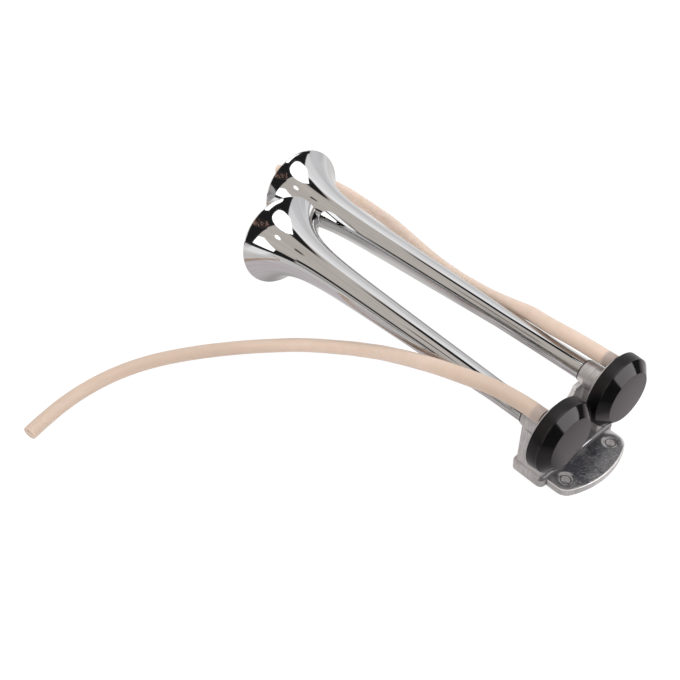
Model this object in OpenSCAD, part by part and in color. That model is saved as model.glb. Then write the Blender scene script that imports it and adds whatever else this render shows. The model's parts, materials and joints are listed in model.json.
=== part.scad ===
// Twin trumpet air horn: two chromed trumpets of different length on one cast base.
// Frame: +Y from the caps towards the bells, +X to the long trumpet's side, +Z up.
// Origin: on the underside of the foot, midway between the two mounting holes.
// All sizes are millimetres.

/* [Layout] */
// Distance between the two trumpet axes
axis_spacing = 51; // [51:0.5:60]
// Height of the trumpet axes above the underside of the foot
axis_height = 44; // [40:0.5:54]
// From the line of the mounting holes forward to the plane of the cap rims
rim_setback = 9.5; // [8:0.5:13]

/* [Trumpets] */
// Outside diameter of a bell at its mouth
bell_d = 71; // [60:1:71]
// Outside diameter of a trumpet's narrow end
tube_d = 13.8; // [12.6:0.2:14.4]
// Sheet thickness of the trumpets
trumpet_wall = 1; // [0.8:0.1:1.4]
// Length of the short trumpet, from its shoulder to its mouth
short_trumpet_len = 244; // [225:1:250]
// Length of the long trumpet, from its shoulder to its mouth
long_trumpet_len = 286; // [280:1:310]
// Growth of a trumpet's radius along its cone, per millimetre
cone_rate = 0.034; // [0.026:0.002:0.034]
// Length of the cone, measured back from the mouth
cone_len = 220; // [190:5:220]
// Length in which the bell's flare falls off to about a third
flare_len = 18.5; // [14:0.5:18.5]
// Diameter of the spigot that goes into the collar
spigot_d = 11; // [10:0.2:11.4]
// Length of the spigot below the trumpet's shoulder
spigot_len = 11; // [7:0.5:11]
// Bore of the spigot
throat_bore_d = 7.4; // [6.6:0.2:8]

/* [Trumpet washers] */
// Outside diameter of the washer under a trumpet's shoulder
washer_d = 14.6; // [14.2:0.1:15.4]
// Thickness of that washer
washer_t = 0.8; // [0.5:0.1:1.5]

/* [Caps] */
// Diameter of a cap at its rim
cap_d = 48; // [46:0.5:50]
// Depth of the cap's side wall
cap_side = 7.4; // [6.6:0.1:8]
// Draft of the side wall: how much smaller its radius is at the edge of the chamfer
cap_draft = 0.5; // [0:0.1:1]
// Depth of the chamfered nose
cap_nose = 5; // [4:0.1:7]
// Diameter of the cap's flat face
cap_face_d = 34; // [30:0.5:38]
// Thickness of the cap's side wall at its rim
cap_wall = 1.85; // [1.4:0.05:2.2]
// Thickness of the cap's face
cap_face_t = 2; // [1.4:0.1:2.6]

/* [Sound chambers] */
// Diameter of the drum's neck in front of the cap
neck_d = 39; // [38:0.2:39]
// Length of the neck, from the rim plane to the drum's front face
neck_len = 2.4; // [2:0.1:3]
// How far the drum reaches into the cap
drum_depth = 3.4; // [3:0.1:3.8]
// Diameter of the ring-shaped air chamber
chamber_d = 35; // [34:0.2:35]
// Thickness of the drum's floor, under the air chamber
floor_t = 2.4; // [1.8:0.1:2.8]
// Diameter of the boss in the middle of the chamber
boss_d = 15; // [13.6:0.2:17]
// Width of the groove for the cap's O-ring
groove_w = 1.6; // [1.5:0.1:1.8]
// Thickness of the O-ring's section
o_ring_t = 1.2; // [1:0.05:1.3]
// Radial room that the O-ring has in its groove, under the cap's skirt
o_ring_room = 0.1; // [0.05:0.05:0.2]

/* [Nozzles and diaphragms] */
// Diameter of the nozzle's shank in the base
nozzle_d = 10; // [9:0.2:10.4]
// Bore of the nozzle
nozzle_bore_d = 6.4; // [5:0.2:6.6]
// Diameter of the nozzle's head
nozzle_head_d = 12.4; // [11.6:0.2:13]
// How far the nozzle's shank reaches in front of the rim plane
nozzle_reach = 7.4; // [5:0.2:7.4]
// How far the boss stays below the drum's rear face
boss_drop = 0.8; // [0.5:0.1:1.5]
// Thickness of the gasket under the diaphragm's edge
gasket_t = 1; // [0.6:0.1:1.2]
// Width of the gasket and of the clamp ring
ring_w = 4; // [3.4:0.1:4]
// Thickness of the diaphragm
diaphragm_t = 0.3; // [0.2:0.05:0.4]
// How far the diaphragm lifts off the nozzle
diaphragm_lift = 0.4; // [0.2:0.05:0.5]
// Thickness of the clamp ring behind the diaphragm
clamp_ring_t = 1.6; // [1:0.1:1.7]

/* [Hose nipples] */
// Sideways offset of a nipple from the trumpet axis, outwards
nipple_out = 5.8; // [4:0.1:7]
// Height of a nipple above the trumpet axis
nipple_up = 13; // [12.5:0.5:13]
// Diameter of the nipple's spigot in the drum's floor
nipple_spigot_d = 5.4; // [5:0.1:5.4]
// Bore of the nipple
nipple_bore_d = 3.8; // [3:0.2:4.2]
// Diameter of the nipple's flange
nipple_flange_d = 8; // [7.4:0.2:8.4]
// Thickness of the nipple's flange
nipple_flange_t = 1.2; // [0.8:0.1:1.6]
// Diameter of the nipple's stem
nipple_stem_d = 5.6; // [5:0.1:6]
// Diameter over the barbs
nipple_barb_d = 6.8; // [6.2:0.1:7.2]
// Number of barbs
barb_count = 3; // [2:1:4]
// Length of the barbed stem
nipple_stem_len = 7; // [6:0.5:9]

/* [Hoses] */
// Outside diameter of a hose
hose_d = 10; // [9:0.5:10]

/* [Base casting] */
// Outside diameter of a collar
collar_d = 15.6; // [15.4:0.2:17]
// From the rim plane to the collar's front face
collar_len = 19; // [19:0.5:22]
// Chamfer round the collar's front face
collar_edge = 0.4; // [0.2:0.1:0.5]
// Diameter of a mounting hole
mount_hole_d = 5.4; // [4.4:0.1:6]
// Distance between the mounting holes
mount_spacing = 42; // [41:0.5:44]
// Diameter of the spot face round a mounting hole
spot_face_d = 9; // [8:0.2:10]
// Depth of the spot face
spot_face_depth = 0.6; // [0.3:0.1:1.2]
// Radius of the ear round a mounting hole
ear_r = 8.4; // [7.8:0.1:9.2]
// How far the foot bulges behind the holes' line, in the middle
foot_bulge = 13.2; // [11:0.1:14]
// Thickness of the foot
foot_t = 5.2; // [3.5:0.1:5.4]
// How far the plinth reaches outwards beyond a trumpet axis
plinth_reach = 8.7; // [7.7:0.1:10]
// From the holes' line forward to the plinth's rear edge
plinth_start = 7.7; // [6:0.1:9]
// Depth of the plinth, rear to front
plinth_depth = 24; // [21.5:0.5:28]
// Height of the plinth
plinth_h = 8.2; // [7.6:0.1:10]
// Radius of the plinth's corners
plinth_corner_r = 3.5; // [3:0.5:5]
// Rounding of the top edges of the foot
foot_edge = 1; // [0.5:0.1:1.5]
// Rounding of the top edges of the plinth
plinth_edge = 2.2; // [1:0.1:2.4]
// Width of a pedestal at the plinth
pedestal_foot_w = 15.4; // [13:0.2:15.4]
// Width of a pedestal where it meets the collar
pedestal_top_w = 9.6; // [8:0.2:12]
// Thickness of the web between the pedestals
web_t = 3; // [2:0.1:4]
// Radius of the round relief in the web's top
relief_r = 15; // [13:0.5:16]
// How far the relief's centre lies below the trumpet axes
relief_drop = 1.6; // [0:0.1:3]

/* [Fits] */
// Radial clearance of the spigots, nozzles and nipples in the casting
seat_clearance = 0.03; // [0.02:0.01:0.08]
// Radial clearance between the drum and the cap's skirt
cap_clearance = 0.15; // [0.1:0.05:0.25]
// Free space on each side of the diaphragm, at rest and fully lifted
diaphragm_gap = 0.05; // [0.03:0.01:0.1]

/* [Hidden] */
$fn = 96;

// The short trumpet is on the -X side and the long one on the +X side
short_side = -1;
long_side = 1;

// Stack behind the rim plane, as distances towards the cap's face
seat_depth = drum_depth + gasket_t;
diaphragm_depth = seat_depth + diaphragm_gap;
clamp_depth = diaphragm_depth + diaphragm_t + diaphragm_lift + diaphragm_gap;
clamp_end = clamp_depth + clamp_ring_t;
cap_depth = cap_side + cap_nose;

// Radii of the stack
skirt_r = cap_d / 2 - cap_wall;
drum_r = skirt_r - cap_clearance;
ring_outer_r = drum_r - 0.4;
ring_inner_r = ring_outer_r - ring_w;
diaphragm_r = ring_outer_r - 0.4;
groove_floor_r = skirt_r - o_ring_room - o_ring_t;
groove_start = (drum_depth - groove_w) / 2;
chamber_front = neck_len - floor_t;

// Trumpet profile
bell_r = bell_d / 2;
tube_r = tube_d / 2;
flare_r = bell_r - tube_r - cone_rate * cone_len;
profile_steps = 30;
throat_lead = 2;
throat_cone = 5;

// Radius of a trumpet's outside at a distance s behind its mouth
function trumpet_r(s) = tube_r + cone_rate * max(0, cone_len - s) + flare_r * exp(-s / flare_len);
// How fast that radius falls with the distance from the mouth
function trumpet_fall(s) = (s < cone_len ? cone_rate : 0) + flare_r / flare_len * exp(-s / flare_len);
// Station i along a length, closer together near the mouth
function station(length, i) = length * pow(i / profile_steps, 2);
// Point on the trumpet's inside, one wall thickness in along the normal
function inner_point(length, s) =
    let (fall = trumpet_fall(s), slant = sqrt(1 + fall * fall))
    [trumpet_r(s) - trumpet_wall / slant, length - s + trumpet_wall * fall / slant];
function trumpet_profile(length) = concat(
    [for (i = [0 : profile_steps]) let (s = station(length, i)) [trumpet_r(s), length - s]],
    [[spigot_d / 2, 0], [spigot_d / 2, -spigot_len], [throat_bore_d / 2, -spigot_len],
     [throat_bore_d / 2, throat_lead]],
    [for (i = [profile_steps : -1 : 0])
        let (s = station(length - throat_lead - throat_cone, i)) inner_point(length, s)]);

// Foot: the bulge is an arc that runs tangent into the two ears
ear_x = mount_spacing / 2;
bulge_r = (pow(ear_x, 2) + pow(foot_bulge, 2) - pow(ear_r, 2)) / (2 * (foot_bulge - ear_r));
bulge_y = bulge_r - foot_bulge;
tangent_turn = atan2(bulge_y, ear_x);

// Points on an arc, from one angle to another
function arc(centre, radius, from, to, steps) =
    [for (i = [0 : steps]) let (turn = from + (to - from) * i / steps)
        centre + radius * [cos(turn), sin(turn)]];
// The same points without the first and the last
function inner_points(points) = [for (i = [1 : len(points) - 2]) points[i]];

// The collar's bore is deeper than the spigot by this much
spigot_room = 0.4;
spigot_bore_end = collar_len - spigot_len + washer_t - spigot_room;
cut = 1;
plinth_w = axis_spacing + 2 * plinth_reach;

// Routes of the hoses: from the nipple's flange to the bare end, lying on z = 0 where they come down
hose_r = hose_d / 2;
short_route = [
    [-31.3, 13.1, 57], [-31.3, 25.5, 57], [-32.3, 37, 57], [-34, 48, 57], [-36.5, 58.5, 56.6],
    [-38.9, 68.5, 55.6], [-40.6, 79, 53.6], [-41.7, 90.5, 50.3], [-42.4, 102, 46], [-42.8, 114, 41],
    [-43, 127, 35], [-43.5, 140, 29], [-45, 153, 23], [-48, 167, 17.5], [-52.2, 180.5, 12.5],
    [-58.5, 195, 8.3], [-67, 208, 5.8], [-78, 219, 5], [-91, 230, 5], [-104.5, 240.3, 5],
    [-118.5, 250, 5], [-134, 259.5, 5], [-150, 267.5, 5], [-167, 273.5, 5], [-185, 276.8, 5],
    [-203, 277.2, 5], [-220.5, 275, 5], [-237, 270.5, 5], [-250, 266, 5]];
long_route = [
    [31.3, 13.1, 57], [31.3, 25.5, 57], [31.3, 37, 57], [31.3, 46, 56.7], [31.5, 54, 56],
    [32.2, 62, 54.8], [33.8, 70.5, 53], [36, 79.5, 50.7], [37.5, 88.5, 48], [38.6, 98.5, 45],
    [39.8, 109.5, 41.8], [41.3, 120.5, 38.8], [43, 131.5, 36], [45, 143, 33.4], [47, 155, 30.8],
    [49.8, 168, 28.2], [53, 182, 25.6], [57, 197.5, 22.8], [61.7, 213.5, 20], [67, 231, 17],
    [72.5, 249, 14], [77.2, 267, 11.2], [80.9, 285, 8.6], [83.7, 302, 6.6], [85.5, 318, 5.4],
    [86.2, 333, 5], [85.6, 348, 5], [83.1, 364, 5], [79.2, 380, 5], [74, 396, 5], [66.5, 413.5, 5]];
hose_sides = 12;

// Turns a profile of [radius, y] points about the Y axis
module turned(profile) {
    rotate([-90, 0, 0]) rotate_extrude() polygon(profile);
}

// A rod along +Y from start, with the given radius and length
module rod(radius, start, length) {
    translate([0, start, 0]) rotate([-90, 0, 0]) cylinder(r = radius, h = length);
}

// A plain ring about the Y axis
module ring(inner, outer, start, length) {
    turned([[inner, start], [outer, start], [outer, start + length], [inner, start + length]]);
}

// Puts its children on one trumpet's axis, with y = 0 on the plane of the cap rims
module on_axis(side) {
    translate([side * axis_spacing / 2, rim_setback, axis_height]) children();
}

module on_nipple_axis(side) {
    on_axis(side) translate([side * nipple_out, 0, nipple_up]) children();
}

// Outline of the foot: two ears joined by a bulging arc, and straight sides into the plinth
module foot_outline() {
    side_x = ear_x + ear_r;
    polygon(concat(arc([ear_x, 0], ear_r, 0, -tangent_turn, 8),
                   inner_points(arc([0, bulge_y], bulge_r, -tangent_turn, tangent_turn - 180, 16)),
                   arc([-ear_x, 0], ear_r, tangent_turn - 180, -180, 8),
                   [[-side_x, plinth_start + plinth_corner_r], [side_x, plinth_start + plinth_corner_r]]));
}

module plinth_outline() {
    offset(r = plinth_corner_r)
        translate([plinth_corner_r - plinth_w / 2, plinth_start + plinth_corner_r])
            square([plinth_w - 2 * plinth_corner_r, plinth_depth - 2 * plinth_corner_r]);
}

// A slab with the given outline whose top edge is rounded
module rounded_slab(height, edge) {
    hull() for (turn = [0 : 30 : 90])
        linear_extrude(height - edge * (1 - sin(turn))) offset(delta = -edge * (1 - cos(turn))) children();
}

module foot() {
    rounded_slab(foot_t, foot_edge) foot_outline();
}

module plinth() {
    rounded_slab(plinth_h, plinth_edge) plinth_outline($fn = 32);
}

// Tapered wall that carries a collar and its drum
module pedestal(side) {
    base_z = plinth_h - plinth_edge - cut;
    top_z = axis_height - collar_d / 4;
    on_axis(side) translate([0, 0, -axis_height])
        rotate([90, 0, 0]) mirror([0, 0, 1]) linear_extrude(collar_len)
            polygon([[-pedestal_foot_w / 2, base_z], [pedestal_foot_w / 2, base_z],
                     [pedestal_top_w / 2, top_z], [-pedestal_top_w / 2, top_z]]);
}

// Web between the pedestals, flush with the collars' front faces, with a round relief
module web() {
    width = axis_spacing - pedestal_top_w / 2;
    top_z = axis_height - collar_d / 3;
    difference() {
        translate([-width / 2, rim_setback + collar_len - web_t, plinth_h - cut])
            cube([width, web_t, top_z - plinth_h + cut]);
        translate([0, rim_setback + collar_len - web_t - cut, axis_height - relief_drop])
            rod(relief_r, 0, web_t + 2 * cut);
    }
}

// Drum, neck and collar of one sound unit, before its bores
module drum_and_collar(side) {
    on_axis(side) {
        rod(drum_r, -drum_depth, drum_depth);
        rod(neck_d / 2, 0, neck_len);
        turned([[0, 0], [collar_d / 2, 0], [collar_d / 2, collar_len - collar_edge],
                [collar_d / 2 - collar_edge, collar_len], [0, collar_len]]);
    }
}

// Chamber, bores and groove of one sound unit
module drum_bores(side) {
    on_axis(side) {
        difference() {
            rod(chamber_d / 2, -drum_depth - cut, drum_depth + cut + chamber_front);
            rod(boss_d / 2, -drum_depth + boss_drop, drum_depth + neck_len);
        }
        rod(nozzle_d / 2 + seat_clearance, -drum_depth - cut, drum_depth + cut + spigot_bore_end);
        rod(spigot_d / 2 + seat_clearance, spigot_bore_end, collar_len);
        ring(groove_floor_r, drum_r + cut, -drum_depth + groove_start, groove_w);
    }
    on_nipple_axis(side)
        rod(nipple_spigot_d / 2 + seat_clearance, chamber_front - cut, floor_t + 2 * cut);
}

module base_casting() {
    color("#9a9b9c") difference() {
        union() {
            foot();
            plinth();
            web();
            for (side = [short_side, long_side]) {
                pedestal(side);
                drum_and_collar(side);
            }
        }
        for (side = [short_side, long_side]) drum_bores(side);
        for (x = [-ear_x, ear_x]) translate([x, 0, 0]) {
            translate([0, 0, -cut]) cylinder(d = mount_hole_d, h = foot_t + 2 * cut);
            translate([0, 0, foot_t - spot_face_depth]) cylinder(d = spot_face_d, h = foot_t);
        }
    }
}

module trumpet(side, length) {
    color("#d3d6da") on_axis(side) translate([0, collar_len + washer_t, 0])
        turned(trumpet_profile(length));
}

module short_trumpet() { trumpet(short_side, short_trumpet_len); }
module long_trumpet() { trumpet(long_side, long_trumpet_len); }

module trumpet_washer(side) {
    color("#2b2b2b") on_axis(side)
        ring(spigot_d / 2 + seat_clearance, washer_d / 2, collar_len, washer_t);
}

module short_trumpet_washer() { trumpet_washer(short_side); }
module long_trumpet_washer() { trumpet_washer(long_side); }

// Nozzle: its head stands on the boss, and its lip is the seat that the diaphragm closes
module nozzle(side) {
    shank = nozzle_d / 2;
    bore = nozzle_bore_d / 2;
    head_start = -drum_depth + boss_drop;
    lip = bore + 0.8;
    lip_h = 0.6;
    color("#b9975b") on_axis(side)
        turned([[bore, -seat_depth], [lip, -seat_depth], [lip, lip_h - seat_depth],
                [nozzle_head_d / 2, lip_h - seat_depth], [nozzle_head_d / 2, head_start],
                [shank, head_start], [shank, nozzle_reach], [bore, nozzle_reach]]);
}

module short_nozzle() { nozzle(short_side); }
module long_nozzle() { nozzle(long_side); }

module gasket(side) {
    color("#333231") on_axis(side) ring(ring_inner_r, ring_outer_r, -seat_depth, gasket_t);
}

module short_gasket() { gasket(short_side); }
module long_gasket() { gasket(long_side); }

module diaphragm(side) {
    color("#b7bbc0") on_axis(side)
        rod(diaphragm_r, -diaphragm_depth - diaphragm_t, diaphragm_t);
}

module short_diaphragm() { diaphragm(short_side); }
module long_diaphragm() { diaphragm(long_side); }

module clamp_ring(side) {
    color("#d9d5c9") on_axis(side) ring(ring_inner_r, ring_outer_r, -clamp_end, clamp_ring_t);
}

module short_clamp_ring() { clamp_ring(short_side); }
module long_clamp_ring() { clamp_ring(long_side); }

module cap_o_ring(side) {
    middle = groove_floor_r + o_ring_t / 2;
    color("#1c1c1c") on_axis(side) translate([0, groove_start - drum_depth + groove_w / 2, 0])
        rotate([-90, 0, 0]) rotate_extrude()
            translate([middle, 0]) circle(d = o_ring_t, $fn = 24);
}

module short_cap_o_ring() { cap_o_ring(short_side); }
module long_cap_o_ring() { cap_o_ring(long_side); }

// Cap: skirt, chamfered nose and flat face; a step inside it holds the clamp ring down
module cap(side) {
    edge_r = cap_d / 2 - cap_draft;
    face_r = cap_face_d / 2;
    hollow_end = cap_depth - cap_face_t;
    hollow_r = ring_inner_r - (hollow_end - clamp_end);
    color("#161617") on_axis(side)
        turned([[skirt_r, 0], [cap_d / 2, 0], [edge_r, -cap_side], [face_r, -cap_depth],
                [0, -cap_depth], [0, -hollow_end], [hollow_r, -hollow_end],
                [ring_inner_r, -clamp_end], [skirt_r, -clamp_end]]);
}

module short_cap() { cap(short_side); }
module long_cap() { cap(long_side); }

// Barbed nipple: spigot in the drum's floor, flange, and a stem that the hose is pushed over
module hose_nipple(side) {
    bore = nipple_bore_d / 2;
    stem = nipple_stem_d / 2;
    barb = nipple_barb_d / 2;
    flange_end = neck_len + nipple_flange_t;
    pitch = nipple_stem_len / barb_count;
    barbs = [for (i = [0 : barb_count - 1], step = [0 : 1])
        step == 0 ? [barb, flange_end + (i + 0.4) * pitch] : [stem, flange_end + (i + 1) * pitch]];
    roots = [for (i = [0 : barb_count - 1]) [stem, flange_end + (i + 0.4) * pitch]];
    outside = [for (i = [0 : barb_count - 1], step = [0 : 1])
        step == 0 ? roots[i] : barbs[2 * i]];
    color("#b4b2ad") on_nipple_axis(side)
        turned(concat([[bore, chamber_front], [nipple_spigot_d / 2, chamber_front],
                       [nipple_spigot_d / 2, neck_len], [nipple_flange_d / 2, neck_len],
                       [nipple_flange_d / 2, flange_end], [stem, flange_end]],
                      [for (i = [0 : barb_count - 1], step = [0 : 2])
                          step == 0 ? roots[i] : step == 1 ? barbs[2 * i] : barbs[2 * i + 1]],
                      [[bore, flange_end + nipple_stem_len]]));
}

module short_hose_nipple() { hose_nipple(short_side); }
module long_hose_nipple() { hose_nipple(long_side); }

// Sweep of a round section along a route
function unit(v) = v / norm(v);
function route_direction(p, i) = unit(p[min(i + 1, len(p) - 1)] - p[max(i - 1, 0)]);
function ring_points(p, i) =
    let (along = route_direction(p, i),
         across = unit(cross(along, [0, 0, 1])),
         upward = cross(across, along))
    [for (k = [0 : hose_sides - 1])
        p[i] + hose_r * (cos(360 * k / hose_sides) * across + sin(360 * k / hose_sides) * upward)];

module swept_hose(p) {
    rings = len(p);
    points = [for (i = [0 : rings - 1], q = ring_points(p, i)) q];
    sides = [for (i = [0 : rings - 2], k = [0 : hose_sides - 1])
        let (a = i * hose_sides + k, b = i * hose_sides + (k + 1) % hose_sides)
        [a, b, b + hose_sides, a + hose_sides]];
    near_end = [for (k = [hose_sides - 1 : -1 : 0]) k];
    far_end = [for (k = [0 : hose_sides - 1]) (rings - 1) * hose_sides + k];
    color("#e8cfbb") polyhedron(points, concat(sides, [near_end, far_end]));
}

module short_hose() { swept_hose(short_route); }
module long_hose() { swept_hose(long_route); }

base_casting();
short_trumpet();
long_trumpet();
short_trumpet_washer();
long_trumpet_washer();
short_nozzle();
long_nozzle();
short_gasket();
long_gasket();
short_diaphragm();
long_diaphragm();
short_clamp_ring();
long_clamp_ring();
short_cap_o_ring();
long_cap_o_ring();
short_cap();
long_cap();
short_hose_nipple();
long_hose_nipple();
short_hose();
long_hose();
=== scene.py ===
"""Looks of the twin trumpet air horn: chromed trumpets, black caps, a rough cast base and soft hoses.

Everything is in metres, in the frame of the CAD model: +Y runs from the caps to the bells, +X is the long
trumpet's side and +Z is up. The underside of the foot is z = 0.
"""

import json
import math
from functools import reduce

import bmesh
import bpy
from mathutils import Matrix, Vector


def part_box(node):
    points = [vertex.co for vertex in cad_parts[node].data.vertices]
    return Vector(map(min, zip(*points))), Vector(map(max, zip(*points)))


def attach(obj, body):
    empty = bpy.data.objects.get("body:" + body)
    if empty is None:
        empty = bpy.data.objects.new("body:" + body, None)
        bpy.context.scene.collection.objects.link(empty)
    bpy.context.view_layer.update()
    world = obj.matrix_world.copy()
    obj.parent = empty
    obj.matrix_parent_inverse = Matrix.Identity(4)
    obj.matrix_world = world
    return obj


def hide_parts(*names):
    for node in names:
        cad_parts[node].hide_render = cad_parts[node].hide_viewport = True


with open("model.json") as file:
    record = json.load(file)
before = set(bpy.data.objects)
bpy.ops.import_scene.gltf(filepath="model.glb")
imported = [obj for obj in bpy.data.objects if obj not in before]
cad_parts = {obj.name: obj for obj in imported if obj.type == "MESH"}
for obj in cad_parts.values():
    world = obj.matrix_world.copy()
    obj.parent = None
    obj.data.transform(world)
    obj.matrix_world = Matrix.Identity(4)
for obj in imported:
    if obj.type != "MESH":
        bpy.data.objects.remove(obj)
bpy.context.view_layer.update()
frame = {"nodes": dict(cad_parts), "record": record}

MM = 0.001
WHITE = (1, 1, 1, 1)

# Sizes of the trumpets, as in the CAD model
TUBE_R = 6.9 * MM
CONE_RATE = 0.034
CONE_LEN = 220 * MM
FLARE_LEN = 18.5 * MM
TRUMPET_WALL = 1.0 * MM
SPIGOT_R = 5.5 * MM
SPIGOT_LEN = 11 * MM
THROAT_R = 3.7 * MM
THROAT_LEAD = 2 * MM
THROAT_CONE = 5 * MM

# Sizes of the caps, and how much their edges are rounded
CAP_SIDE = 7.4 * MM
CAP_EDGE_R = 23.5 * MM
CAP_FACE_R = 17.0 * MM
CAP_SKIRT_R = 22.15 * MM
CAP_LEDGE = 6.8 * MM
CAP_LEDGE_R = 17.6 * MM
CAP_FACE_T = 2.0 * MM
CAP_RIM_ROUNDING = 0.3 * MM
CAP_EDGE_ROUNDING = 0.45 * MM
CAP_FACE_ROUNDING = 0.35 * MM

# Sizes of the hoses, and how far the nipples show through them
HOSE_D = 10 * MM
HOSE_BORE_D = 6 * MM
HOSE_BORE_DEPTH = 9 * MM
HOSE_EDGE = 0.5 * MM
NIPPLE_END = 19.3 * MM

# Sizes and places of the casting in mm, as in the CAD model, where its colours change
FOOT_T = 5.2
SPOT_FACE_R = 4.5
PLINTH_START = 7.7
PLINTH_H = 8.2
COLLAR_START = 9.5
COLLAR_UNDERSIDE = 36.2
WEB_START = 25.5


# small tools

def link(obj):
    bpy.context.scene.collection.objects.link(obj)
    return obj


def mesh_object(name, vertices, faces, sharp_degrees=35):
    """A smooth-shaded mesh whose edges stay sharp where the faces meet at a steep angle."""
    mesh = bpy.data.meshes.new(name)
    mesh.from_pydata(vertices, [], faces)
    shaped = bmesh.new()
    shaped.from_mesh(mesh)
    bmesh.ops.recalc_face_normals(shaped, faces=shaped.faces)
    for face in shaped.faces:
        face.smooth = True
    for edge in shaped.edges:
        edge.smooth = edge.is_manifold and edge.calc_face_angle(0) < math.radians(sharp_degrees)
    shaped.to_mesh(mesh)
    shaped.free()
    return link(bpy.data.objects.new(name, mesh))


def lathe(name, profile, x, z, segments=192):
    """Turns a closed profile of (radius, y) points about the line through x and z along Y.
    A radius of 0 becomes one point on the axis."""
    vertices, rings = [], []
    for radius, y in profile:
        count = 1 if radius < 1e-7 else segments
        rings.append((len(vertices), count))
        for k in range(count):
            turn = 2 * math.pi * k / segments
            vertices.append((x + radius * math.cos(turn), y, z + radius * math.sin(turn)))
    faces = []
    for i, (start, count) in enumerate(rings):
        following, following_count = rings[(i + 1) % len(rings)]
        for k in range(segments):
            n = (k + 1) % segments
            corners = [start + k % count, start + n % count,
                       following + n % following_count, following + k % following_count]
            face = list(dict.fromkeys(corners))
            if len(face) > 2:
                faces.append(face)
    return mesh_object(name, vertices, faces)


def rounded(profile, radii, steps=5):
    """The closed profile with its corners rounded: radii maps a point's index to its radius."""
    points = []
    for i, corner in enumerate(profile):
        if i not in radii:
            points.append(corner)
            continue
        here = Vector(corner)
        before = (Vector(profile[i - 1]) - here).normalized()
        after = (Vector(profile[(i + 1) % len(profile)]) - here).normalized()
        half = before.angle(after) / 2
        reach = radii[i] / math.tan(half)
        centre = here + (before + after).normalized() * radii[i] / math.sin(half)
        start, end = here + before * reach - centre, here + after * reach - centre
        whole = start.angle(end)
        for step in range(steps + 1):
            turn = whole * step / steps
            spoke = (start * math.sin(whole - turn) + end * math.sin(turn)) / math.sin(whole)
            points.append(tuple(centre + spoke))
    return points


def axis_of(node):
    """Middle of the node's box, which a turned node has on its axis."""
    low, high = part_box(node)
    return (low + high) / 2


# The long trumpet's axis, which the short one's mirrors, and a screw hole's distance from the middle
AXIS_X, _, AXIS_Z = axis_of("long_trumpet")
mounts = {mount["name"]: mount for mount in frame["record"]["mounts"]}
HOLE_X = mounts["mounting_holes"]["dims"]["spacing_x_mm"] / 2 * MM


# node tools

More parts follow.
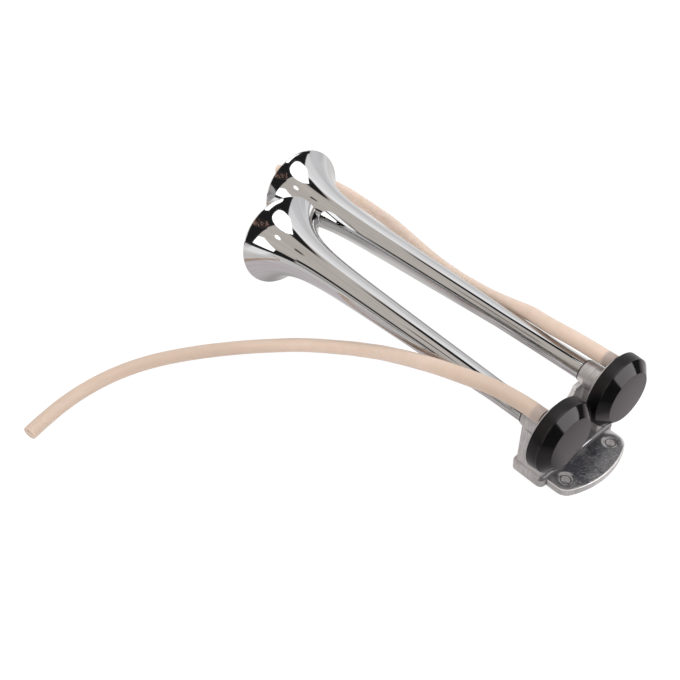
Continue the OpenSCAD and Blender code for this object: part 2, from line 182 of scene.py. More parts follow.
class NodeTree:
    """A node tree with short calls for the nodes that the materials and the world share."""

    def __init__(self, owner):
        owner.use_nodes = True
        self.tree = owner.node_tree
        self.tree.nodes.clear()

    def add(self, kind, **settings):
        node = self.tree.nodes.new(kind)
        for key, value in settings.items():
            setattr(node, key, value)
        return node

    def join(self, source, target):
        self.tree.links.new(source, target)

    def place(self):
        """Position in the row frame, in metres."""
        return self.add("ShaderNodeTexCoord").outputs["Object"]

    def xyz(self, vector=None):
        """The three parts of the vector, or of the position."""
        node = self.add("ShaderNodeSeparateXYZ")
        self.join(vector or self.place(), node.inputs["Vector"])
        return node.outputs["X"], node.outputs["Y"], node.outputs["Z"]

    def vector(self, **parts):
        """A vector from its parts X, Y and Z, of which any may be left out."""
        node = self.add("ShaderNodeCombineXYZ")
        for key, value in parts.items():
            self.join(value, node.inputs[key])
        return node.outputs["Vector"]

    def from_axis(self, x, z):
        """How far a place is across and above the nearer trumpet's axis."""
        return self.math("SUBTRACT", self.math("ABSOLUTE", x), AXIS_X), self.math("SUBTRACT", z, AXIS_Z)

    def stretched(self, scale, turn=0.0):
        """The position, turned about Z and then scaled along X, Y and Z, which stretches a texture."""
        turned = self.add("ShaderNodeMapping")
        turned.inputs["Rotation"].default_value = (0, 0, math.radians(turn))
        self.join(self.place(), turned.inputs["Vector"])
        node = self.add("ShaderNodeMapping")
        node.inputs["Scale"].default_value = scale
        self.join(turned.outputs["Vector"], node.inputs["Vector"])
        return node.outputs["Vector"]

    def noise(self, scale, detail=3.0, roughness=0.55, vector=None):
        node = self.add("ShaderNodeTexNoise")
        node.inputs["Scale"].default_value = scale
        node.inputs["Detail"].default_value = detail
        node.inputs["Roughness"].default_value = roughness
        self.join(vector or self.place(), node.inputs["Vector"])
        return node.outputs["Fac"]

    def spread(self, value, low, high, to_low=0.0, to_high=1.0):
        """Maps a value's range low..high onto to_low..to_high, and stops at both ends."""
        node = self.add("ShaderNodeMapRange")
        for key, number in (("From Min", low), ("From Max", high), ("To Min", to_low), ("To Max", to_high)):
            node.inputs[key].default_value = number
        self.join(value, node.inputs["Value"])
        return node.outputs["Result"]

    def math(self, operation, a, b=None):
        node = self.add("ShaderNodeMath", operation=operation)
        for socket, value in zip(node.inputs, (a, b)):
            if isinstance(value, (int, float)):
                socket.default_value = value
            elif value is not None:
                self.join(value, socket)
        return node.outputs["Value"]

    def times(self, *values):
        return reduce(lambda a, b: self.math("MULTIPLY", a, b), values)

    def plus(self, *values):
        return reduce(lambda a, b: self.math("ADD", a, b), values)

    def distance(self, a, b):
        """Length of the flat vector with these two parts."""
        return self.math("SQRT", self.plus(self.math("POWER", a, 2), self.math("POWER", b, 2)))

    def up_to(self, value, limit, soft):
        """1 where the value is below the limit, which is in mm and soft by as much to either side."""
        return self.spread(value, (limit - soft) * MM, (limit + soft) * MM, 1, 0)

    def within(self, value, low, high, soft):
        """1 where the value lies between two such limits."""
        return self.times(self.spread(value, (low - soft) * MM, (low + soft) * MM),
                          self.up_to(value, high, soft))

    def vector_math(self, operation, a, b=None):
        node = self.add("ShaderNodeVectorMath", operation=operation)
        self.join(a, node.inputs[0])
        if isinstance(b, Vector):
            node.inputs[1].default_value = b
        elif b is not None:
            self.join(b, node.inputs[1])
        return node.outputs["Value" if operation == "DOT_PRODUCT" else "Vector"]

    def mix(self, share, first, second):
        """The first colour where the share is 0, and the second where it is 1."""
        node = self.add("ShaderNodeMix", data_type="RGBA")
        if isinstance(share, (int, float)):
            node.inputs["Factor"].default_value = share
        else:
            self.join(share, node.inputs["Factor"])
        for key, value in (("A", first), ("B", second)):
            socket = next(s for s in node.inputs if s.name == key and s.type == "RGBA")
            if isinstance(value, (tuple, list)):
                socket.default_value = (*value, 1)
            else:
                self.join(value, socket)
        return next(s for s in node.outputs if s.type == "RGBA")

    def paint(self, colour, *marks):
        """The colour with marks laid over it in turn, each of them a share and its tone."""
        return reduce(lambda under, mark: self.mix(mark[0], under, mark[1]), marks, colour)

    def mix_shader(self, share, first, second):
        node = self.add("ShaderNodeMixShader")
        for socket, source in zip(node.inputs, (share, first, second)):
            self.join(source, socket)
        return node.outputs["Shader"]

    def bump(self, height, distance, strength=1.0, normal=None):
        node = self.add("ShaderNodeBump")
        node.inputs["Distance"].default_value = distance
        node.inputs["Strength"].default_value = strength
        self.join(height, node.inputs["Height"])
        if normal:
            self.join(normal, node.inputs["Normal"])
        return node.outputs["Normal"]


class Shader(NodeTree):
    """A material with its output node."""

    def __init__(self, name):
        self.material = bpy.data.materials.new(name)
        super().__init__(self.material)
        self.output = self.add("ShaderNodeOutputMaterial")

    def principled(self, **values):
        node = self.add("ShaderNodeBsdfPrincipled")
        for key, value in values.items():
            node.inputs[key.replace("_", " ")].default_value = value
        self.join(node.outputs["BSDF"], self.output.inputs["Surface"])
        return node

    def finish(self, surface, colour, roughness, normal):
        """The material, with these textures on its surface."""
        for key, source in (("Base Color", colour), ("Roughness", roughness), ("Normal", normal)):
            self.join(source, surface.inputs[key])
        return self.material


# materials

def chrome():
    """Mirror plate, faintly streaked along the tubes, with fine dark lines low down near the base."""
    s = Shader("chrome_plate")
    x, y, z = s.xyz()
    across, height = s.from_axis(x, z)
    side = s.math("SIGN", x)
    grain = s.vector_math("ADD", s.vector_math("NORMALIZE", s.vector(X=across, Z=height)),
                          s.vector(X=side, Y=s.times(y, 1.6)))
    streaks = s.noise(9, 4, 0.65, grain)
    fine_lines = s.noise(16, 3, 0.6, grain)
    low_near_base = s.times(s.spread(y, 80 * MM, 200 * MM, 1, 0), s.spread(z, 47 * MM, 50 * MM, 1, 0))
    plate = s.mix(s.noise(60, 2), (0.61, 0.61, 0.615), (0.66, 0.66, 0.665))
    plate = s.paint(plate,
                    (s.times(s.spread(streaks, 0.40, 0.60), 0.20), (0.30, 0.295, 0.29)),
                    (s.times(s.spread(fine_lines, 0.46, 0.56), low_near_base, 0.8), (0.12, 0.11, 0.10)))
    roughness = s.spread(s.noise(220, 4), 0.35, 0.7, 0.03, 0.06)
    waves = s.bump(s.noise(55, 1, vector=s.stretched((1, 0.25, 1))), 0.12 * MM, 0.5)
    drawn = s.times(s.math("SUBTRACT", streaks, 0.5), low_near_base)
    return s.finish(s.principled(Metallic=1.0), plate, roughness, s.bump(drawn, 0.06 * MM, 1.0, waves))


def casting_sides(s, mottle, lines):
    """Colour of the casting away from the foot's top: mottled and lined, with painted shade in its inner
    corners, painted light on the web and painted shade between the pedestals. The plinth's rear edge has
    painted shade with one painted highlight line along it, the foot's rim has a painted highlight, and a
    dark seam runs below each collar."""
    x, y, z = s.xyz()
    across = s.math("ABSOLUTE", x)
    # Painted shade: ambient occlusion darkens the casting's inner corners.
    corners = s.add("ShaderNodeAmbientOcclusion", samples=8, only_local=True)
    corners.inputs["Distance"].default_value = 2.2 * MM
    body = s.mix(s.spread(mottle, 0.35, 0.7), (0.45, 0.425, 0.42), (0.60, 0.575, 0.57))
    body = s.mix(s.spread(lines, 0.36, 0.56), (0.39, 0.37, 0.365), body)
    body = s.mix(s.spread(corners.outputs["AO"], 0.45, 0.95), (0.13, 0.125, 0.12), body)
    # Painted light: the web is made pale, as if lit.
    web = s.times(s.up_to(across, 21, 0.3), s.within(y, WEB_START - 1.5, WEB_START + 4.5, 0.5),
                  s.within(z, 24, 45, 1))
    # Painted shade between the pedestals.
    between = s.times(s.up_to(across, 17.5, 0.6), s.within(y, COLLAR_START - 1, WEB_START - 1.5, 0.5),
                      s.up_to(z, 17, 5))
    seam = s.times(s.within(z, COLLAR_UNDERSIDE - 0.2, COLLAR_UNDERSIDE + 0.3, 0.12),
                   s.within(y, COLLAR_START - 1.5, WEB_START, 1.8))
    # Painted shade on the plinth's rear edge, and a painted highlight line along it.
    rear_edge_shade = s.times(s.within(z, FOOT_T + 0.1, PLINTH_H + 0.8, 0.15),
                        s.within(y, PLINTH_START - 1.7, PLINTH_START + 2.5, 0.3))
    rear_shade_tone = s.mix(s.spread(across, 12 * MM, 18 * MM), (0.13, 0.125, 0.13), (0.17, 0.165, 0.165))
    rear_highlight_line = s.times(s.within(z, PLINTH_H - 0.8, PLINTH_H - 0.55, 0.12), s.up_to(across, 12, 1.5),
                        s.within(y, PLINTH_START - 1.7, PLINTH_START + 1.7, 0.3))
    foot = s.up_to(y, PLINTH_START - 0.5, 0.3)
    return s.paint(body,
                   (web, (0.92, 0.90, 0.89)),
                   (between, (0.16, 0.155, 0.155)),
                   (seam, (0.03, 0.028, 0.027)),
                   (rear_edge_shade, rear_shade_tone),
                   (rear_highlight_line, (0.80, 0.79, 0.79)),
                   # The foot's side is made paler, and a painted highlight runs along its rim.
                   (s.times(s.up_to(z, FOOT_T - 0.8, 0.12), foot, 0.25), (0.80, 0.78, 0.77)),
                   (s.times(s.within(z, FOOT_T - 0.7, FOOT_T - 0.3, 0.12), foot), (0.92, 0.91, 0.90)))


def foot_top(s, scratch):
    """Colour of the foot's top: dark and cloudy with bright scratches, with a painted highlight on the
    right ear's end, and at each screw hole a painted highlight crescent and a worn ring."""
    x, y, _ = s.xyz()
    across = s.math("ABSOLUTE", x)
    from_hole = s.distance(s.math("SUBTRACT", across, HOLE_X), y)
    clouds = s.plus(s.noise(90, 2), s.spread(y, -9 * MM, 3 * MM, 0.06, -0.06))
    scratches = s.plus(scratch, s.spread(y, -10 * MM, 4 * MM, 0.03, -0.03))
    # Painted highlight on the right ear's outer end.
    ear_highlight = s.times(s.spread(from_hole, 6.0 * MM, 7.6 * MM), s.spread(across, 23 * MM, 26 * MM),
                      s.spread(x, -1 * MM, 1 * MM, 0.15, 1))
    # Painted highlight: a pale crescent on one side of each spot face's edge.
    inward = s.plus(s.math("SUBTRACT", HOLE_X, across), y)
    crescent = s.times(s.within(from_hole, SPOT_FACE_R - 0.3, SPOT_FACE_R + 1.1, 0.4),
                       s.spread(inward, 3.6 * MM, 5.6 * MM))
    worn_ring = s.times(s.within(from_hole, SPOT_FACE_R - 0.9, SPOT_FACE_R - 0.3, 0.25),
                        s.spread(s.noise(150, 2), 0.42, 0.58))
    return s.paint(s.mix(s.spread(clouds, 0.40, 0.60), (0.055, 0.055, 0.065), (0.19, 0.185, 0.19)),
                   (s.spread(scratches, 0.55, 0.66), (0.50, 0.50, 0.51)),
                   (ear_highlight, (0.82, 0.81, 0.81)),
                   (crescent, (0.62, 0.60, 0.60)),
                   (s.up_to(from_hole, SPOT_FACE_R - 0.1, 0.15), (0.16, 0.15, 0.15)),
                   (worn_ring, (0.75, 0.74, 0.74)))


def cast_metal():
    """Tumbled zinc: satin, with soft edges and fine lines. The foot's top is rougher and scratched."""
    s = Shader("cast_zinc")
    mottle = s.noise(160, 4, 0.6)
    grain = s.noise(1100, 3, 0.6)
    lines = s.noise(1300, 3, 0.6, s.stretched((0.09, 1, 0.09)))
    scratch = s.noise(420, 5, 0.75, s.stretched((1, 4.5, 1), 42))
    _, y, z = s.xyz()
    _, _, upward = s.xyz(s.add("ShaderNodeNewGeometry").outputs["Normal"])
    on_top = s.times(s.up_to(z, FOOT_T + 0.7, 0.3), s.spread(upward, 0.90, 0.98),
                     s.up_to(y, PLINTH_START - 0.1, 0.4))
    colour = s.mix(on_top, casting_sides(s, mottle, lines), foot_top(s, scratch))
    roughness = s.plus(s.spread(mottle, 0.3, 0.7, 0.34, 0.46), s.times(on_top, 0.10))
    rounded_edges = s.add("ShaderNodeBevel", samples=6)
    rounded_edges.inputs["Radius"].default_value = 0.5 * MM
    relief = s.plus(s.times(mottle, 0.5), s.times(grain, 0.3), s.times(lines, 0.5),
                    s.times(scratch, on_top, 1.6))
    normal = s.bump(relief, 0.25 * MM, 0.8, rounded_edges.outputs["Normal"])
    return s.finish(s.principled(Metallic=0.5), colour, roughness, normal)


def black_gloss():
    """Black lacquer, duller on the caps' side walls than on their noses."""
    s = Shader("black_gloss")
    bsdf = s.principled(Metallic=0.0, IOR=1.46, Specular_Tint=(1.0, 0.93, 0.945, 1))
    x, _, z = s.xyz()
    side_wall = s.spread(s.distance(*s.from_axis(x, z)), CAP_EDGE_R - 0.1 * MM, CAP_EDGE_R + 0.1 * MM)
    smooth = s.spread(s.noise(300, 4), 0.3, 0.75, 0.06, 0.12)
    s.join(s.spread(side_wall, 0, 1, 0.5, 0.25), bsdf.inputs["Specular IOR Level"])
    black = s.mix(s.noise(90, 3), (0.003, 0.003, 0.0032), (0.0065, 0.006, 0.0062))
    roughness = s.plus(smooth, s.times(side_wall, 0.26))
    return s.finish(bsdf, black, roughness, s.bump(s.noise(700, 3), 0.04 * MM, 0.4))


def soft_hose():
    """Yellowed see-through hose, darker and pinker where the nipple inside shows through, and duller on the
    short hose's far stretch and the long hose's first one. It has painted shade along its outline."""
    s = Shader("soft_hose")
    bsdf = s.principled(IOR=1.48, Subsurface_Weight=0.6, Subsurface_Scale=2.2 * MM,
                        Subsurface_Radius=(1.0, 0.75, 0.55))
    bsdf.subsurface_method = "RANDOM_WALK"
    x, y, _ = s.xyz()
    over_nipple = s.spread(y, NIPPLE_END - 1.0 * MM, NIPPLE_END + 1.2 * MM, 1, 0)
    long_start = s.times(s.spread(x, -10 * MM, 0, 1, 0), s.spread(y, 45 * MM, 95 * MM, 1, 0))
    short_end = s.spread(x, -110 * MM, -60 * MM, 1, 0)
    # Painted shade: the hose darkens towards its outline.
    edge = s.add("ShaderNodeLayerWeight")
    edge.inputs["Blend"].default_value = 0.5
    outline = s.spread(edge.outputs["Facing"], 0.72, 1.0, 0.0, 0.5)
    plain = s.mix(s.spread(s.noise(120, 3), 0.35, 0.65), (0.755, 0.60, 0.48), (0.80, 0.63, 0.53))
    plain = s.paint(plain,
                    (s.math("MAXIMUM", short_end, long_start), (0.64, 0.50, 0.405)),
                    (over_nipple, (0.46, 0.375, 0.33)),
                    (outline, (0.36, 0.31, 0.31)))
    roughness = s.spread(s.noise(260, 3), 0.3, 0.7, 0.32, 0.44)
    return s.finish(bsdf, plain, roughness, s.bump(s.noise(500, 3), 0.06 * MM, 0.5))


def hose_bore():
    s = Shader("hose_bore")
    bsdf = s.principled(Roughness=0.6)
    s.join(s.mix(s.noise(200, 3), (0.80, 0.68, 0.60), (0.88, 0.76, 0.68)), bsdf.inputs["Base Color"])
    return s.material


def turned_metal(name, dark, light, smoothest, roughest):
    """Metal turned about an axis along Y, with fine rings."""
    s = Shader(name)
    rings = s.noise(900, 2, vector=s.stretched((0.05, 1, 0.05)))
    return s.finish(s.principled(Metallic=1.0), s.mix(s.noise(300, 3), dark, light),
                    s.spread(rings, 0.3, 0.7, smoothest, roughest), s.bump(rings, 0.08 * MM, 0.5))


def seal_rubber():
    s = Shader("seal_rubber")
    return s.finish(s.principled(), s.mix(s.noise(400, 4), (0.018, 0.018, 0.018), (0.045, 0.044, 0.043)),
                    s.spread(s.noise(700, 3), 0.3, 0.7, 0.55, 0.75),
                    s.bump(s.noise(1500, 3), 0.06 * MM, 0.6))


def spring_steel():
    """Bright strip steel with the fine lines of its rolling along X."""
    s = Shader("spring_steel")
    rolled = s.noise(1200, 3, vector=s.stretched((0.04, 1, 1)))
    return s.finish(s.principled(Metallic=1.0), s.mix(rolled, (0.52, 0.53, 0.55), (0.66, 0.67, 0.69)),
                    s.spread(rolled, 0.3, 0.7, 0.2, 0.34), s.bump(rolled, 0.04 * MM, 0.5))


def ring_plastic():
    s = Shader("ring_plastic")
    return s.finish(s.principled(), s.mix(s.noise(250, 3), (0.62, 0.60, 0.53), (0.72, 0.70, 0.64)),
                    s.spread(s.noise(500, 3), 0.3, 0.7, 0.45, 0.6),
                    s.bump(s.noise(1100, 3), 0.05 * MM, 0.5))


FINISHES = {
    "cast_zinc": cast_metal(),
    "chrome": chrome(),
    "black_gloss": black_gloss(),
    "brass": turned_metal("turned_brass", (0.62, 0.46, 0.22), (0.74, 0.58, 0.32), 0.22, 0.36),
    "nickel_plate": turned_metal("nickel_plate", (0.17, 0.15, 0.135), (0.23, 0.205, 0.19), 0.25, 0.38),
    "seal_rubber": seal_rubber(),
    "spring_steel": spring_steel(),
    "ring_plastic": ring_plastic(),
    "clear_hose": soft_hose(),
}


def dress(obj, slot):
    obj.data.materials.clear()
    obj.data.materials.append(FINISHES[slot])


# CAD nodes that stay

def smooth_by_angle(obj, degrees):
    """Joins the node's split corners and shades it smooth, and leaves its points where they are."""
    weld = obj.modifiers.new("weld", "WELD")
    weld.merge_threshold = 1e-6
    for polygon in obj.data.polygons:
        polygon.use_smooth = True
    split = obj.modifiers.new("sharp_edges", "EDGE_SPLIT")
    split.split_angle = math.radians(degrees)
    flat = obj.modifiers.new("flat_faces", "WEIGHTED_NORMAL")
    flat.weight = 100


slots = {part["node"]: part["material_slot"] for part in frame["record"]["subparts"]}
for node, obj in frame["nodes"].items():
    dress(obj, slots[node])
    smooth_by_angle(obj, degrees=32)


# trumpets

def trumpet_profile(spigot_end, lip_end, bell_r):
    """Closed profile of one wall thickness, with a spigot, a throat, a cone, a flare and a rounded lip."""
    shoulder = spigot_end + SPIGOT_LEN
    flare_r = bell_r - TUBE_R - CONE_RATE * CONE_LEN
    lip_fall = CONE_RATE + flare_r / FLARE_LEN
    mouth = lip_end - TRUMPET_WALL * lip_fall / math.sqrt(1 + lip_fall ** 2)

    def outside(back):
        """Outer radius at this distance behind the mouth."""
        return TUBE_R + CONE_RATE * max(0, CONE_LEN - back) + flare_r * math.exp(-back / FLARE_LEN)

    def fall(back):
        """How steeply the outer radius falls there."""
        return (CONE_RATE if back < CONE_LEN else 0) + flare_r / FLARE_LEN * math.exp(-back / FLARE_LEN)

    def inside(back):
        """Point of the inner wall, one wall thickness from there."""
        slant = math.sqrt(1 + fall(back) ** 2)
        return outside(back) - TRUMPET_WALL / slant, mouth - back + TRUMPET_WALL * fall(back) / slant

    steps, lip_steps = 110, 8
    length = mouth - shoulder
    inner_length = length - THROAT_LEAD - THROAT_CONE
    lip_reach = 0.25 * MM
    shares = [(i / steps) ** 2 for i in range(steps + 1)]
    outer = [(outside(length * share), mouth - length * share)
             for share in shares if length * share > lip_reach]
    inner = [inside(inner_length * share)
             for share in reversed(shares) if inner_length * share > lip_reach]
    lip_inside, lip_outside = Vector(inner[-1]), Vector(outer[0])
    middle = (lip_inside + lip_outside) / 2
    spoke = lip_inside - middle
    ahead = Vector((-spoke.y, spoke.x))
    if ahead.y < 0:
        ahead = -ahead
    lip_points = [tuple(middle + spoke * math.cos(t) + ahead * math.sin(t))
                  for t in (math.pi * k / lip_steps for k in range(1, lip_steps))]
    spigot = [(SPIGOT_R, shoulder), (SPIGOT_R, spigot_end)]
    throat = [(THROAT_R, spigot_end), (THROAT_R, shoulder + THROAT_LEAD)]
    return outer + spigot + throat + inner + lip_points


def trumpet(name, node):
    """The node's trumpet, turned finely enough for mirror reflections."""
    low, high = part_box(node)
    axis = axis_of(node)
    profile = trumpet_profile(low.y, high.y, (high.x - low.x) / 2)
    piece = lathe(name, profile, axis.x, axis.z, segments=256)
    dress(piece, "chrome")
    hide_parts(node)
    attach(piece, "horn")


trumpet("short_trumpet_shell", "short_trumpet")
trumpet("long_trumpet_shell", "long_trumpet")


# caps

def cap(name, node):
    """Screw cap with slightly rounded edges, so that they catch a thin line of light."""
    low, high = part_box(node)
    axis = axis_of(node)
    rim, face = high.y, low.y
    rim_r = (high.x - low.x) / 2
    ledge = rim - CAP_LEDGE
    hollow_end = face + CAP_FACE_T
    hollow_r = CAP_LEDGE_R - (ledge - hollow_end)
    shoulder = rim - CAP_SIDE
    outside = [(CAP_SKIRT_R, rim), (rim_r, rim), (CAP_EDGE_R, shoulder), (CAP_FACE_R, face), (0, face)]
    inside = [(0, hollow_end), (hollow_r, hollow_end), (CAP_LEDGE_R, ledge), (CAP_SKIRT_R, ledge)]
    profile = rounded(outside + inside, {1: CAP_RIM_ROUNDING, 2: CAP_EDGE_ROUNDING, 3: CAP_FACE_ROUNDING})
    piece = lathe(name, profile, axis.x, axis.z)
    dress(piece, "black_gloss")
    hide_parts(node)
    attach(piece, "horn")


cap("short_cap_shell", "short_cap")
cap("long_cap_shell", "long_cap")


# hoses

# The same routes as in the CAD model, in mm
SHORT_ROUTE = [
    (-31.3, 13.1, 57), (-31.3, 25.5, 57), (-32.3, 37, 57), (-34, 48, 57), (-36.5, 58.5, 56.6),
    (-38.9, 68.5, 55.6), (-40.6, 79, 53.6), (-41.7, 90.5, 50.3), (-42.4, 102, 46), (-42.8, 114, 41),
    (-43, 127, 35), (-43.5, 140, 29), (-45, 153, 23), (-48, 167, 17.5), (-52.2, 180.5, 12.5),
    (-58.5, 195, 8.3), (-67, 208, 5.8), (-78, 219, 5), (-91, 230, 5), (-104.5, 240.3, 5),
    (-118.5, 250, 5), (-134, 259.5, 5), (-150, 267.5, 5), (-167, 273.5, 5), (-185, 276.8, 5),
    (-203, 277.2, 5), (-220.5, 275, 5), (-237, 270.5, 5), (-250, 266, 5)]
LONG_ROUTE = [
    (31.3, 13.1, 57), (31.3, 25.5, 57), (31.3, 37, 57), (31.3, 46, 56.7), (31.5, 54, 56),
    (32.2, 62, 54.8), (33.8, 70.5, 53), (36, 79.5, 50.7), (37.5, 88.5, 48), (38.6, 98.5, 45),
    (39.8, 109.5, 41.8), (41.3, 120.5, 38.8), (43, 131.5, 36), (45, 143, 33.4), (47, 155, 30.8),
    (49.8, 168, 28.2), (53, 182, 25.6), (57, 197.5, 22.8), (61.7, 213.5, 20), (67, 231, 17),
    (72.5, 249, 14), (77.2, 267, 11.2), (80.9, 285, 8.6), (83.7, 302, 6.6), (85.5, 318, 5.4),
    (86.2, 333, 5), (85.6, 348, 5), (83.1, 364, 5), (79.2, 380, 5), (74, 396, 5), (66.5, 413.5, 5)]


def smooth_route(points, per_span=6):
    """Points on a smooth curve through the route, which also keeps its straight ends straight."""
    places = [Vector(p) * MM for p in points]
    padded = [2 * places[0] - places[1]] + places + [2 * places[-1] - places[-2]]
    path = []
    for i in range(1, len(padded) - 2):
        a, b, c, d = padded[i - 1:i + 3]
        for step in range(per_span):
            t = step / per_span
            path.append(0.5 * (2 * b + (c - a) * t + (2 * a - 5 * b + 4 * c - d) * t ** 2
                               + (3 * b - a - 3 * c + d) * t ** 3))
    return path + [places[-1]]


def frames_along(path):
    """Each point of the path with its directions along, across and up, which don't twist."""
    frames = []
    upward = Vector((0, 0, 1))
    for i, point in enumerate(path):
        along = (path[min(i + 1, len(path) - 1)] - path[max(i - 1, 0)]).normalized()
        across = along.cross(upward).normalized()
        upward = across.cross(along)
        frames.append((point, along, across, upward.copy()))
    return frames


def hose(name, node, route, segments=40):
    """Soft hose swept along its route. Its bore is open at the bare end."""
    path = smooth_route(route)
    frames = frames_along(path)
    outer_r, bore_r = HOSE_D / 2, HOSE_BORE_D / 2

    def ring(index, radius, shift=0.0):
        point, along, across, up = frames[index]
        return [point + along * shift + radius * (math.cos(a) * across + math.sin(a) * up)
                for a in (2 * math.pi * k / segments for k in range(segments))]

    last = len(path) - 1
    rings = [ring(i, outer_r) for i in range(last)]
    for turn in (0, 30, 60, 90):
        inward = HOSE_EDGE * (1 - math.cos(math.radians(turn)))
        back = HOSE_EDGE * (1 - math.sin(math.radians(turn)))
        rings.append(ring(last, outer_r - inward, -back))
    rings.append(ring(last, bore_r + HOSE_EDGE / 2))
    rings.append(ring(last, bore_r, -HOSE_EDGE / 2))
    bore_start = len(rings) - 1
    rings.append(ring(last, bore_r, -HOSE_BORE_DEPTH))
    vertices = [v for r in rings for v in r]
    faces = []
    for i in range(len(rings) - 1):
        here, ahead = i * segments, (i + 1) * segments
        for k in range(segments):
            n = (k + 1) % segments
            faces.append((here + k, here + n, ahead + n, ahead + k))
    faces.append(tuple(range(segments)))
    faces.append(tuple(range((len(rings) - 1) * segments, len(rings) * segments)))
    piece = mesh_object(name, vertices, faces, sharp_degrees=60)
    dress(piece, "clear_hose")
    piece.data.materials.append(BORE)
    for polygon in piece.data.polygons:
        if min(polygon.vertices) >= bore_start * segments:
            polygon.material_index = 1
    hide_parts(node)
    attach(piece, "horn")


BORE = hose_bore()
hose("short_hose_tube", "short_hose", SHORT_ROUTE)
hose("long_hose_tube", "long_hose", LONG_ROUTE)


# camera, where it was found from the rims of the caps and the bells in the photograph

LENS_PX = 850.2
FRAME_PX = 680
SENSOR_MM = 36.0
CAMERA_PLACE = (-0.30016, -0.18188, 0.42079)
HEADING, DIP, ROLL = math.radians(-34.901), math.radians(42.486), math.radians(-6.452)

camera_data = bpy.data.cameras.new("camera")
camera_data.sensor_width = SENSOR_MM
camera_data.lens = SENSOR_MM * LENS_PX / FRAME_PX
camera_data.clip_start = 0.01
camera_data.clip_end = 20
camera = link(bpy.data.objects.new("camera", camera_data))
camera.matrix_world = (Matrix.Translation(CAMERA_PLACE)
                       @ Matrix.Rotation(HEADING, 4, "Z")
                       @ Matrix.Rotation(math.pi / 2 - DIP, 4, "X")
                       @ Matrix.Rotation(ROLL, 4, "Z"))
bpy.context.scene.camera = camera


# floor and studio light

FLOOR_REACH = 3.0
FLOOR_Z = -0.4 * MM
# Middles of the painted shadows on the table under the bells, and how far they reach
BELL_SHADOW_MIDDLES = ((-0.042, 0.276), (0.009, 0.318))
BELL_SHADOW_R = 0.046


def table_colour(s, x, y):
    """What the object mirrors below it: a pale table in a dark room, with painted shadows under the bells,
    pinker near the foot, with a shadow to the foot's left and a brighter patch of window light at the
    bells."""
    cloth = s.mix(s.spread(x, 0.15, 0.50), (0.84, 0.82, 0.80), (0.98, 0.98, 0.99))
    cloth = s.mix(s.spread(y, -0.015, 0.0), (0.82, 0.755, 0.775), cloth)
    # Painted shadows on the table under the bells.
    from_bells = [s.distance(s.math("SUBTRACT", x, bell_x), s.math("SUBTRACT", y, bell_y))
                  for bell_x, bell_y in BELL_SHADOW_MIDDLES]
    cloth = s.mix(s.spread(s.math("MINIMUM", *from_bells), 0.0, BELL_SHADOW_R), (0.38, 0.37, 0.365), cloth)
    beside = s.plus(x, s.times(y, 0.35))
    near_foot = s.mix(s.spread(s.math("ABSOLUTE", beside), 0.02, 0.06), (0.73, 0.67, 0.69), cloth)
    shadow = s.times(s.spread(beside, -0.024, -0.012, 1, 0), s.spread(beside, -0.26, -0.16),
                     s.spread(y, 0.006, 0.022, 1, 0))
    cloth = s.mix(shadow, near_foot, (0.38, 0.37, 0.37))
    near_side = s.plus(y, s.times(s.math("MINIMUM", x, 0), -0.45))
    on_table = s.times(s.spread(x, -0.85, -0.75), s.spread(near_side, -0.14, -0.03))
    window = s.times(on_table, s.spread(x, -0.24, -0.18, 1, 0), s.spread(y, 0.21, 0.25, 1, 0),
                     s.spread(s.plus(y, s.times(x, -0.55)), 0.22, 0.27))
    return s.mix(window, s.mix(on_table, (0.05, 0.05, 0.055), cloth), (1.2, 1.2, 1.2))


def studio_floor():
    """White for the camera, with a faint shadow, and a painted shadow under the foot's screw holes. The
    object mirrors a table there, and is lit from below by an even pale floor."""
    s = Shader("studio_floor")
    x, y, _ = s.xyz()
    path = s.add("ShaderNodeLightPath")
    table = s.add("ShaderNodeEmission")
    below = s.mix(path.outputs["Is Diffuse Ray"], table_colour(s, x, y), (0.78, 0.77, 0.76))
    s.join(below, table.inputs["Color"])
    white = s.add("ShaderNodeEmission")
    white.inputs["Color"].default_value = WHITE
    # Painted shadow: the floor is darker under the foot's screw holes.
    from_hole = s.distance(s.math("SUBTRACT", s.math("ABSOLUTE", x), HOLE_X), y)
    s.join(s.spread(from_hole, 7.0 * MM, 7.8 * MM, 0.12, 0.9), white.inputs["Strength"])
    shade = s.add("ShaderNodeBsdfDiffuse")
    shade.inputs["Color"].default_value = (0.17, 0.17, 0.17, 1)
    seen = s.add("ShaderNodeAddShader")
    s.join(white.outputs["Emission"], seen.inputs[0])
    s.join(shade.outputs["BSDF"], seen.inputs[1])
    shown = s.mix_shader(path.outputs["Is Camera Ray"], table.outputs["Emission"], seen.outputs["Shader"])
    s.join(shown, s.output.inputs["Surface"])
    return s.material


def sheet(name, x_range, y_range, z, material):
    """Flat rectangle of the studio."""
    (left, right), (near, far) = x_range, y_range
    corners = [(left, near, z), (right, near, z), (right, far, z), (left, far, z)]
    piece = mesh_object(name, corners, [(0, 1, 2, 3)])
    piece.data.materials.append(material)
    return piece


sheet("floor", (-FLOOR_REACH, FLOOR_REACH), (-FLOOR_REACH, FLOOR_REACH), FLOOR_Z, studio_floor())


def towards(azimuth, elevation):
    """Direction at these angles in degrees, the azimuth counted from +Y towards +X."""
    a, e = math.radians(azimuth), math.radians(elevation)
    return Vector((math.sin(a) * math.cos(e), math.cos(a) * math.cos(e), math.sin(e)))


def panel(corners):
    """Inward normals of the planes that bound a convex light panel, from its corner directions."""
    middle = sum(corners, Vector()).normalized()
    normals = []
    for i, corner in enumerate(corners):
        normal = corner.cross(corners[(i + 1) % len(corners)]).normalized()
        normals.append(normal if normal.dot(middle) > 0 else -normal)
    return normals


def sky_panel(*corners):
    """Panel with its corners at these azimuths and elevations."""
    return panel([towards(*corner) for corner in corners])


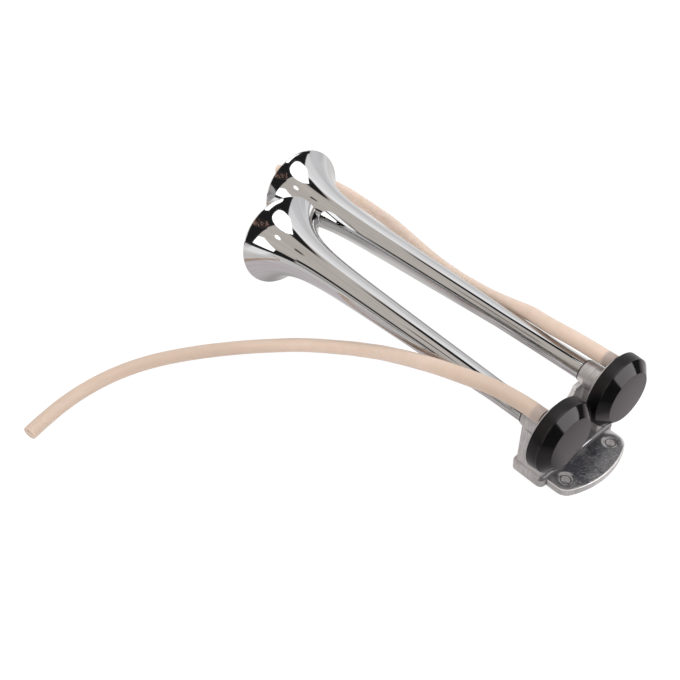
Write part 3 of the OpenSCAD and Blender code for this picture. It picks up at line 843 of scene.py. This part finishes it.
# The mirrored surroundings, as seen from between the bells. What is overhead is drawn on a canopy.
EYE = Vector((0, 0.265, 0.060))
CANOPY_X = (-1.22, 1.86)
CANOPY_Y = (-0.184, 1.68)
CANOPY_Z = 0.720


def overhead_panel(*places):
    """Panel with its corners at these places on the canopy, in mm."""
    return panel([(Vector((x * MM, y * MM, CANOPY_Z)) - EYE).normalized() for x, y in places])


def across_turn(degrees, rising):
    """Plane through the Y axis that bounds the sky at this angle, turned from +X over the top to -X."""
    a = math.radians(degrees)
    normal = Vector((-math.sin(a), 0, math.cos(a)))
    return normal if rising else -normal


def right_box(s, direction):
    """Colour of the soft box on the right, which is brighter towards its top."""
    x, _, z = s.xyz(direction)
    turn = s.math("ARCTAN2", z, x)
    return s.mix(s.spread(turn, math.radians(20), math.radians(66)), (0.81, 0.81, 0.82), (1.22, 1.22, 1.23))


def far_figures(s, direction):
    """Colour of brown wisps, for what stands far behind the camera."""
    wisps = s.spread(s.noise(13, 3, 0.6, vector=direction), 0.47, 0.60)
    return s.mix(wisps, (0.022, 0.020, 0.021), (0.34, 0.21, 0.165))


ROOM = (0.02, 0.02, 0.021)
DARK = (0.02, 0.02, 0.02)

# Panels as (bounding planes, colour, softness of the edge). Later panels cover the earlier ones.
SKY = [
    # soft box on the right, and a pale wall below it
    ([across_turn(-2, True), across_turn(77, False), Vector((0.40, 0.91, 0))], right_box, 0.012),
    (sky_panel((45, -6), (50, 9), (88, 9), (88, -6)), (0.91, 0.91, 0.92), 0.10),
    # soft box on the left
    ([across_turn(73, True), across_turn(172, False), Vector((-0.53, 0.82, 0.20))],
     (0.70, 0.645, 0.60), 0.012),
    # tall window beyond the caps, and a lamp on the left
    (sky_panel((178, 43.5), (172, 47.5), (160, 46.8), (147, 43.8), (138, 41), (131, 35.5), (127, -2),
               (174, -2)), (3.2, 3.2, 3.2), 0.012),
    (sky_panel((-125, 3), (-127, 21), (-118, 27), (-103, 20), (-91, 13), (-91, 3)), (2.4, 2.4, 2.4), 0.008),
    # dark furniture on the left, with a pale front, towards the bells
    (sky_panel((-90, -4), (-90, 13), (-66, 10), (-66, -4)), DARK, 0.008),
    (sky_panel((-66.5, -4), (-66.5, 9), (-45, 9), (-45, -4)), (0.60, 0.58, 0.56), 0.02),
    (sky_panel((-66.5, 7.5), (-66.5, 16), (-60, 17.5), (-45, 17.5), (-45, 8.5)), DARK, 0.020),
    # figures behind the camera
    (sky_panel((-158, 27), (-148, 25), (-138, 42), (-143, 52), (-156, 53)), far_figures, 0.035),
]
# Drawn on the canopy alone, over the others: two dark beams, a round lamp and a small one
OVERHEAD = [
    (overhead_panel((10, 620), (95, 620), (165, 545), (203, 468), (229, 324), (189, 239), (-76, 239),
                    (-60, 380), (-40, 510)), DARK, 0.030),
    (overhead_panel((-600, 500), (-590, 620), (-480, 600), (-460, 480)), (0.06, 0.055, 0.05), 0.020),
    (overhead_panel((-175, 124), (-125, 239), (21, 335), (189, 277), (339, 209), (423, 148), (419, 50),
                    (373, -65), (271, -149), (105, -174), (-27, -166), (-125, -96), (-177, 13)),
     (2.4, 2.4, 2.4), 0.010),
    (overhead_panel((-651, 96), (-626, 198), (-541, 214), (-466, 181), (-449, 104), (-541, 54)),
     (2.2, 2.2, 2.2), 0.012),
]


def sky_colour(s, direction, panels):
    """The room's colour with the panels drawn over it."""
    colour = ROOM
    for planes, tone, soft in panels:
        sides = [s.spread(s.vector_math("DOT_PRODUCT", direction, plane), -soft, soft) for plane in planes]
        colour = s.mix(s.times(*sides), colour, tone(s, direction) if callable(tone) else tone)
    return colour


def canopy_cloth():
    """The part of the surroundings that is close above the object."""
    s = Shader("canopy_cloth")
    direction = s.vector_math("NORMALIZE", s.vector_math("SUBTRACT", s.place(), EYE))
    glow = s.add("ShaderNodeEmission")
    s.join(sky_colour(s, direction, SKY + OVERHEAD), glow.inputs["Color"])
    s.join(glow.outputs["Emission"], s.output.inputs["Surface"])
    return s.material


# Seen only in mirroring surfaces
canopy = sheet("canopy", CANOPY_X, CANOPY_Y, CANOPY_Z, canopy_cloth())
canopy.visible_camera = False
canopy.visible_diffuse = False
canopy.visible_shadow = False
canopy.visible_transmission = False


def studio_world():
    """The mirrored surroundings for the metal, an even white dome that lights the matt surfaces, and white
    for the camera."""
    world = bpy.data.worlds.new("studio")
    s = NodeTree(world)
    direction = s.add("ShaderNodeTexCoord").outputs["Generated"]
    _, _, height = s.xyz(direction)
    mirrored, even, white = (s.add("ShaderNodeBackground") for _ in range(3))
    s.join(sky_colour(s, direction, SKY), mirrored.inputs["Color"])
    s.join(s.mix(s.spread(height, 0.0, 0.8), (0.90, 0.90, 0.90), (1.05, 1.05, 1.05)), even.inputs["Color"])
    white.inputs["Color"].default_value = WHITE
    path = s.add("ShaderNodeLightPath")
    metal_sees, matt_sees, camera_sees = (node.outputs["Background"] for node in (mirrored, even, white))
    lit = s.mix_shader(path.outputs["Is Diffuse Ray"], metal_sees, matt_sees)
    shown = s.mix_shader(path.outputs["Is Camera Ray"], lit, camera_sees)
    s.join(shown, s.add("ShaderNodeOutputWorld").inputs["Surface"])
    bpy.context.scene.world = world


studio_world()
bpy.context.scene.view_settings.view_transform = "Standard"
